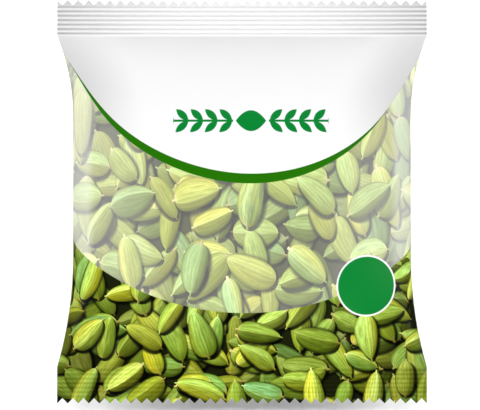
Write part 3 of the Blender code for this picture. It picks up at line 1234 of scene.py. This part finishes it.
    def _columns(self) -> list[tuple[Panel, np.ndarray]]:
        """The columns of each panel, as places along the web in shares of half the pouch's width."""
        back = self.tooth_count * self.back_columns
        fin = int(self.fin_teeth * 2) * self.back_columns
        edge = self.fin_width / (self.width / 2)
        return [
            (Panel.FIN_OUTER, np.linspace(-edge, 0, fin + 1)[:-1]),
            (Panel.BACK_RIGHT, np.linspace(0, 1, back + 1)),
            (Panel.FRONT, np.linspace(1, -1, self.tooth_count * self.front_columns + 1)),
            (Panel.BACK_LEFT, np.linspace(-1, 0, back + 1)[:-1]),
            (Panel.FIN_INNER, np.linspace(0, -edge, fin + 1)),
        ]

    def _row(self, y: float, teeth: float) -> tuple[np.ndarray, np.ndarray]:
        """One row of the web.

        Args:
            y: the row's place, before the teeth pull it out.
            teeth: how much of the tooth's depth is added at the tips.

        Returns:
            The points of the film's middle surface, and their places on the print.
        """
        wide = self._half_width(y)
        tall = self.swell * max(0.0, 1 - abs(y / self.body_half) ** self.swell_power)
        length, arch_x, arch_rise = self._arch(wide, tall)
        side = 1 if y > 0 else -1
        points, places = [], []
        for panel, shares in self._columns():
            x = np.sign(shares) * np.interp(np.abs(shares), length, arch_x)
            rise = np.interp(np.abs(shares), length, arch_rise)
            rise = rise + self._creased(panel, shares, y, tall)
            tips = np.abs(((shares + 1) * self.tooth_count / 2 + 0.5) % 1 - 0.5) * 2
            ys = y + side * teeth * (1 - tips)
            z = self._height(panel, x, rise) + self._ribs(np.abs(ys) - self.body_half)
            points.append(np.column_stack([x, ys, np.maximum(z, self.film / 2)]))
            places.append(np.column_stack([self._print_x(panel, shares), ys / MM]))
        return np.concatenate(points), np.concatenate(places)

    def _creased(self, panel: Panel, shares: np.ndarray, y: float, tall: float) -> np.ndarray:
        """How far the creases lift the film from its section."""
        lift = np.zeros_like(shares)
        for seal, creases in self.creases.items():
            away = self.body_half - seal.value * y
            for crease in creases:
                lift += crease.lift(shares if panel is Panel.FRONT else -shares, away)
        calm = 1 - np.abs(shares) ** self.calm_power
        return lift * calm * min(1.0, tall / MM)

    def _height(self, panel: Panel, x: np.ndarray, rise: np.ndarray) -> np.ndarray:
        """Height of the film's middle surface in this panel.

        Args:
            panel: the stretch of the web.
            x: the places across.
            rise: how far the section stands off the seal plane there.

        Returns:
            The heights.
        """
        if panel is Panel.FRONT:
            return self.seal_plane + self.half_layer + rise
        window = self._fin_window(x)
        lowest = self.seal_plane - self.half_layer - rise - 2 * self.layer * window
        lowest = np.maximum(lowest, self.film / 2)
        if panel is Panel.BACK_LEFT:
            return lowest + 2 * self.layer * window
        return lowest + (self.layer if panel is Panel.FIN_INNER else 0.0)

    def _print_x(self, panel: Panel, shares: np.ndarray) -> np.ndarray:
        """The print's millimetres across, counted on round the sides onto the back."""
        half = self.width / 2 / MM
        if panel is Panel.FRONT:
            return shares * half
        side = -1 if panel in (Panel.BACK_LEFT, Panel.FIN_INNER) else 1
        return side * (2 - np.abs(shares) * np.sign(side * shares + NEARLY)) * half

    def _row_places(self) -> list[Pair]:
        """The (y, teeth) of each row: even steps over the ribs, closer ones where the body begins."""
        fine = self.rib_pitch / self.rib_rows
        ribs_end = self.seal_margin + self.rib_count * self.rib_pitch
        valley = self.seal_length - self.tooth_depth
        first = self.seal_margin % fine
        flat = [first + i * fine for i in range(round((ribs_end - first) / fine))]
        out = [(away, 0.0) for away in flat]
        start = flat[-1]
        for i in range(1, self.tooth_rows + 1):
            share = i / self.tooth_rows
            out.append((start + (valley - start) * share, self.tooth_depth * share))
        top = [(self.body_half + away, teeth) for away, teeth in out]
        body = []
        bunched, even = self.row_mix
        for i in range(self.body_rows + 1):
            y = self.body_half * math.sin(math.pi * (i / self.body_rows - 0.5))
            body.append(bunched * y + even * self.body_half * (2 * i / self.body_rows - 1))
        foot = [(-y, teeth) for y, teeth in reversed(top)]
        return foot + [(y, 0.0) for y in body] + top

    def build(self) -> bpy.types.Object:
        """Makes the pouch's mesh, with its two maps.

        Returns:
            The pouch.
        """
        rows = [self._row(y, teeth) for y, teeth in self._row_places()]
        middle = np.array([points for points, _ in rows])
        place = np.array([places for _, places in rows])
        across = np.gradient(middle, axis=1)
        along = np.gradient(middle, axis=0)
        normal = np.cross(along, across)
        normal /= np.linalg.norm(normal, axis=2, keepdims=True) + TINY
        outer = middle + normal * self.film / 2
        inner = middle - normal * self.film / 2
        outer[..., 2] = np.maximum(outer[..., 2], 0.0)
        height, width = middle.shape[:2]
        number = np.arange(height * width).reshape(height, width)
        shift = height * width
        faces = [self._quads(number, True), self._quads(number + shift, False)]
        for rim in (number[0], number[:, -1], number[-1, ::-1], number[::-1, 0]):
            low, high = rim[:-1], rim[1:]
            faces.append(np.column_stack([low, high, high + shift, low + shift]))
        mesh = bpy.data.meshes.new("film_pouch_fine")
        points = np.concatenate([outer.reshape(-1, 3), inner.reshape(-1, 3)])
        mesh.from_pydata(points.tolist(), [], np.concatenate(faces).tolist())
        skin = len(faces[0])
        self._map(mesh, place, skin, len(faces[1]))
        mesh.polygons.foreach_set("material_index", [0] * skin + [1] * (len(mesh.polygons) - skin))
        mesh.shade_smooth()
        mesh.set_sharp_from_angle(angle=math.radians(self.sharp_angle))
        made = bpy.data.objects.new("film_pouch_fine", mesh)
        bpy.context.scene.collection.objects.link(made)
        return made

    @staticmethod
    def _quads(number: np.ndarray, flip: bool) -> np.ndarray:
        """The faces of a grid of numbered points."""
        corners = [number[:-1, :-1], number[:-1, 1:], number[1:, 1:], number[1:, :-1]]
        return np.column_stack([c.ravel() for c in (corners[::-1] if flip else corners)])

    def _map(self, mesh: bpy.types.Mesh, place: np.ndarray, skin: int, lining: int) -> None:
        """Lays out the print's map and the map for baking.

        Args:
            mesh: the pouch's mesh.
            place: the print's millimetres at each point of the grid.
            skin: how many faces the outside has.
            lining: how many the inside has.
        """
        corner = np.zeros(len(mesh.loops), int)
        mesh.loops.foreach_get("vertex_index", corner)
        flat = place.reshape(-1, 2)
        spot = flat[corner % len(flat)]
        half, tall = self.width / 2 / MM, self.length / MM
        share = spot[:, 0] / half
        out = share[: skin * 4]
        u = self._across_map(share, self.inside_strip)
        u[: skin * 4] = np.where(
            np.repeat(self._front_faces(place), 4),
            self._across_map(out + 1, self.front_strip),
            np.where(
                out > 0,
                self._across_map(out - 1, self.right_strip),
                self._across_map(-out - 1, self.left_strip),
            ),
        )
        u[(skin + lining) * 4 :] = self.edge_strip
        v = MAP_MARGIN + (1 - 2 * MAP_MARGIN) * (spot[:, 1] / tall + 0.5)
        lay_map(mesh, PRINT_MAP, spot)
        lay_map(mesh, BAKE_MAP, np.column_stack([u, v]))

    @staticmethod
    def _across_map(share: np.ndarray, strip: Pair) -> np.ndarray:
        """The places across a strip of the map, from shares of half the pouch's width."""
        return strip[0] + strip[1] * share

    def _front_faces(self, place: np.ndarray) -> np.ndarray:
        """Which faces of the outside are on the front."""
        half = self.width / 2 / MM + NEARLY
        x = place[..., 0]
        front = (np.abs(x[:-1, :-1]) <= half) & (np.abs(x[:-1, 1:]) <= half)
        return front.ravel()

    def dress(self, pouch: bpy.types.Object) -> None:
        """Gives the pouch its finishes and its place in the part."""
        pouch.data.materials.append(PrintedFilm().material())
        pouch.data.materials.append(FilmInside().material())
        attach(pouch, "root")
        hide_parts("film_pouch")


# The pods


@dataclass
class CardamomPods:
    """The loose pods inside: each takes its place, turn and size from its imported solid."""

    # The mesh's rings and the sides of each
    rings: int = 40
    sides: int = 36

    # The husk's lobes, its fine ribs and its wrinkles, as shares of its radius, with how many there
    # are; ribs and wrinkles calm down towards the ends by a power
    lobe: float = 0.07
    lobe_count: int = 3
    rib: float = 0.012
    rib_count: int = 18
    wrinkle: float = 0.02
    wrinkle_waves: tuple[int, int] = (5, 2)
    calm_power: int = 4

    # Where the stalk ends, its width as a share of the pod's, the powers of the husk's fullness, and
    # past which share of the length the two ends are told apart
    stalk_share: float = 0.9
    stalk_width: float = 0.17
    fullness: Pair = (0.92, 0.72)
    end_share: float = 0.42
    seed: int = 5

    def build(self) -> list[bpy.types.Object]:
        """Makes one fine pod for each packed one.

        Returns:
            The pods.
        """
        names = sorted(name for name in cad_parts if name.startswith("pod_"))
        husk = DryHusk().material()
        draw = np.random.RandomState(self.seed)
        return [self._pod(name, husk, draw) for name in names]

    def _radius(self, along: np.ndarray) -> np.ndarray:
        """Radius of a pod of unit width from its stalk, -1, to its beak, 1."""
        body = np.clip((along + self.stalk_share) / (1 + self.stalk_share), 0, 1)
        husk = 0.5 * np.sin(math.pi * body**self.fullness[0]).clip(0) ** self.fullness[1]
        stub = self.stalk_width / 2 * (1 - body)
        return np.where(along < -self.stalk_share, self.stalk_width / 2, np.maximum(husk, stub))

    def _placed(self, name: str) -> tuple[np.ndarray, np.ndarray, float, float]:
        """Where a packed pod is.

        Args:
            name: its node.

        Returns:
            Its middle, its axes as rows with the beak's way first, its length and its width.
        """
        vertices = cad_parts[name].data.vertices
        points = np.array([vertex.co for vertex in vertices], float)
        points = np.unique(points.round(PLACE_DIGITS), axis=0)
        middle = (points.min(0) + points.max(0)) / 2
        _, _, axes = np.linalg.svd(points - points.mean(0), full_matrices=False)
        way = axes[0] / np.linalg.norm(axes[0])
        reach = (points - middle) @ way
        length = reach.max() - reach.min()
        middle = middle + way * (reach.max() + reach.min()) / 2
        off = np.linalg.norm(points - middle - np.outer((points - middle) @ way, way), axis=1)
        reach = (points - middle) @ way
        near_end = self.end_share * length
        if off[reach > near_end].max() < off[reach < -near_end].max():
            way = -way
        side = np.cross((0, 0, 1), way)
        side /= np.linalg.norm(side)
        return middle, np.array([way, side, np.cross(way, side)]), length, 2 * off.max() / (1 + self.lobe)

    def _pod(self, name: str, husk: bpy.types.Material, draw: np.random.RandomState) -> bpy.types.Object:
        """One fine pod.

        Args:
            name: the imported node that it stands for.
            husk: its material.
            draw: where its random numbers come from.

        Returns:
            The pod.
        """
        middle, axes, length, width = self._placed(name)
        along = -np.cos(np.linspace(0, math.pi, self.rings + 2))[1:-1]
        around = np.arange(self.sides) * 2 * math.pi / self.sides
        far, turn = np.meshgrid(along, around, indexing="ij")
        # Four phases are drawn and two of them used, which keeps the later draws as they are
        phase = draw.uniform(0, 2 * math.pi, 4)
        radius = self._radius(far) * (1 + self.lobe * np.cos(self.lobe_count * turn))
        along_waves, around_waves = self.wrinkle_waves
        ribs = self.rib * np.cos(self.rib_count * turn + phase[0])
        ribs += self.wrinkle * np.sin(along_waves * far + around_waves * turn + phase[1])
        radius = radius * (1 + (ribs - self.rib - self.wrinkle) * (1 - far**self.calm_power))
        grid = np.stack([far * length / 2, radius * width * np.cos(turn), radius * width * np.sin(turn)], -1)
        ends = np.array([[-length / 2, 0, 0], [length / 2, 0, 0]])
        points = np.concatenate([grid.reshape(-1, 3), ends]) @ axes + middle
        mesh = self._mesh(points)
        tones = mesh.attributes.new(TONE, "FLOAT", "POINT")
        tones.data.foreach_set("value", np.full(len(points), draw.uniform(), np.float32))
        mesh.materials.append(husk)
        made = bpy.data.objects.new(name + "_fine", mesh)
        bpy.context.scene.collection.objects.link(made)
        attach(made, "root")
        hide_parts(name)
        return made

    def _mesh(self, points: np.ndarray) -> bpy.types.Mesh:
        """The mesh of a pod with these points, ring by ring and then its two ends."""
        rings, sides = self.rings, self.sides
        faces, spots = [], []
        for i in range(rings - 1):
            low, high = (i + 1) / (rings + 1), (i + 2) / (rings + 1)
            for j in range(sides):
                k = (j + 1) % sides
                left, right = j / sides, (j + 1) / sides
                faces.append((i * sides + j, i * sides + k, (i + 1) * sides + k, (i + 1) * sides + j))
                spots += [(low, left), (low, right), (high, right), (high, left)]
        stalk, beak, top = rings * sides, rings * sides + 1, (rings - 1) * sides
        low, high = 1 / (rings + 1), rings / (rings + 1)
        for j in range(sides):
            k = (j + 1) % sides
            left, middle, right = j / sides, (j + 0.5) / sides, (j + 1) / sides
            faces += [(stalk, k, j), (top + j, top + k, beak)]
            spots += [(0, middle), (low, right), (low, left)]
            spots += [(high, left), (high, right), (1, middle)]
        mesh = bpy.data.meshes.new("fine_pod")
        mesh.from_pydata(points.tolist(), [], faces)
        for name in (PRINT_MAP, BAKE_MAP):
            lay_map(mesh, name, np.array(spots) * (1 - 2 * MAP_MARGIN) + MAP_MARGIN)
        mesh.shade_smooth()
        return mesh


# The studio


class Gloss(Enum):
    """Whether a lamp is seen in glossy surfaces."""

    SEEN = True
    UNSEEN = False


class Lights(Enum):
    """What a lamp lights."""

    TABLE = "INCLUDE"
    POUCH = "EXCLUDE"


@dataclass(frozen=True)
class SoftBox:
    """A flat area lamp that faces the pouch.

    Args:
        name: its name.
        side: the way that it stands from the pouch, seen from above.
        tilt: its angle from straight above, in degrees.
        power: its power in watts.
        size: its width and its height.
        gloss: whether film and husks reflect it.
        lights: what it lights: the table alone, or all but the table.
        distance: how far it is from the pouch.
    """

    name: str
    side: Pair
    tilt: float
    power: float
    size: Pair = (0.3, 0.3)
    gloss: Gloss = Gloss.UNSEEN
    lights: Lights = Lights.POUCH
    distance: float = 0.6

    def place(self, table: bpy.types.Object) -> None:
        """Adds the lamp to the scene."""
        lamp = bpy.data.lights.new(self.name, "AREA")
        lamp.energy = self.power
        lamp.shape = "RECTANGLE"
        lamp.size, lamp.size_y = self.size
        made = bpy.data.objects.new(self.name, lamp)
        tilt = math.radians(self.tilt)
        way = Vector((self.side[0] * math.sin(tilt), self.side[1] * math.sin(tilt), math.cos(tilt)))
        made.location = way * self.distance
        made.rotation_euler = way.to_track_quat("Z", "Y").to_euler()
        made.visible_glossy = self.gloss.value
        bpy.context.scene.collection.objects.link(made)
        linked = bpy.data.collections.new(self.name + "_table")
        linked.objects.link(table)
        linked.collection_objects[0].light_linking.link_state = self.lights.value
        made.light_linking.receiver_collection = linked


@dataclass(frozen=True)
class Studio:
    """A white table, soft light from all sides and a long lens straight above."""

    boxes: tuple[SoftBox, ...] = (
        SoftBox("left_box", (-1, 0), 40, 1.17),
        SoftBox("right_box", (1, 0), 40, 1.17),
        SoftBox("top_box", (0, 1), 40, 0.95),
        SoftBox("foot_box", (0, -1), 40, 1.53),
        SoftBox("left_strip", (-1, 0), 56, 0.2, (0.3, 0.1), Gloss.SEEN),
        SoftBox("right_strip", (1, 0), 56, 0.2, (0.3, 0.1), Gloss.SEEN),
        SoftBox("table_box", (0, 1), 12, 4.7, (1.0, 0.07), lights=Lights.TABLE),
        SoftBox("table_left", (-0.94, 0.35), 66, 4.2, lights=Lights.TABLE),
        SoftBox("table_right", (0.94, 0.35), 66, 4.2, lights=Lights.TABLE),
        SoftBox("table_foot", (0, -1), 35, 0.85, lights=Lights.TABLE),
    )
    sky: float = 0.06
    lens: float = 300.0
    frame_width: float = 144.0 * MM
    aim: Pair = (-0.6 * MM, -1.05 * MM)
    far_clip: float = 10.0
    table_half: float = 1.5
    table_drop: float = 0.02 * MM
    table_white: Colour = (0.96, 0.96, 0.96)
    table_roughness: float = 0.9

    def build(self, plane: float) -> None:
        """Sets the scene up.

        Args:
            plane: the height that the view's scale is set at.
        """
        scene = bpy.context.scene
        scene.view_settings.view_transform = "Standard"
        world = bpy.data.worlds.new("studio_air")
        world.use_nodes = True
        air = world.node_tree.nodes["Background"]
        air.inputs["Color"].default_value = (1, 1, 1, 1)
        air.inputs["Strength"].default_value = self.sky
        scene.world = world
        table = self._table()
        for box in self.boxes:
            box.place(table)
        self._camera(plane)

    def _camera(self, plane: float) -> None:
        """Hangs the camera over the pouch."""
        data = bpy.data.cameras.new("camera")
        data.lens = self.lens
        made = bpy.data.objects.new("camera", data)
        distance = self.lens * self.frame_width / data.sensor_width
        made.location = (*self.aim, plane + distance)
        data.clip_end = self.far_clip * distance
        bpy.context.scene.collection.objects.link(made)
        bpy.context.scene.camera = made

    def _table(self) -> bpy.types.Object:
        """Lays the table under the pouch."""
        half = self.table_half
        mesh = bpy.data.meshes.new("table")
        corners = [(-half, -half, 0), (half, -half, 0), (half, half, 0), (-half, half, 0)]
        mesh.from_pydata(corners, [], [(0, 1, 2, 3)])
        made = bpy.data.objects.new("table", mesh)
        made.location.z = -self.table_drop
        made.visible_glossy = False
        white = bpy.data.materials.new("white_table")
        white.use_nodes = True
        shader = white.node_tree.nodes["Principled BSDF"]
        shader.inputs["Base Color"].default_value = (*self.table_white, 1)
        shader.inputs["Roughness"].default_value = self.table_roughness
        mesh.materials.append(white)
        bpy.context.scene.collection.objects.link(made)
        return made


def main() -> None:
    """Builds the pouch, its pods and the studio."""
    logging.basicConfig(level=logging.INFO, format="%(message)s")
    shape = FilmPouch()
    pouch = shape.build()
    shape.dress(pouch)
    log.info("%s: %d faces", pouch.name, len(pouch.data.polygons))
    for pod in CardamomPods().build():
        log.info("%s: %d faces", pod.name, len(pod.data.polygons))
    Studio().build(shape.seal_plane)


if __name__ == "__main__":
    main()
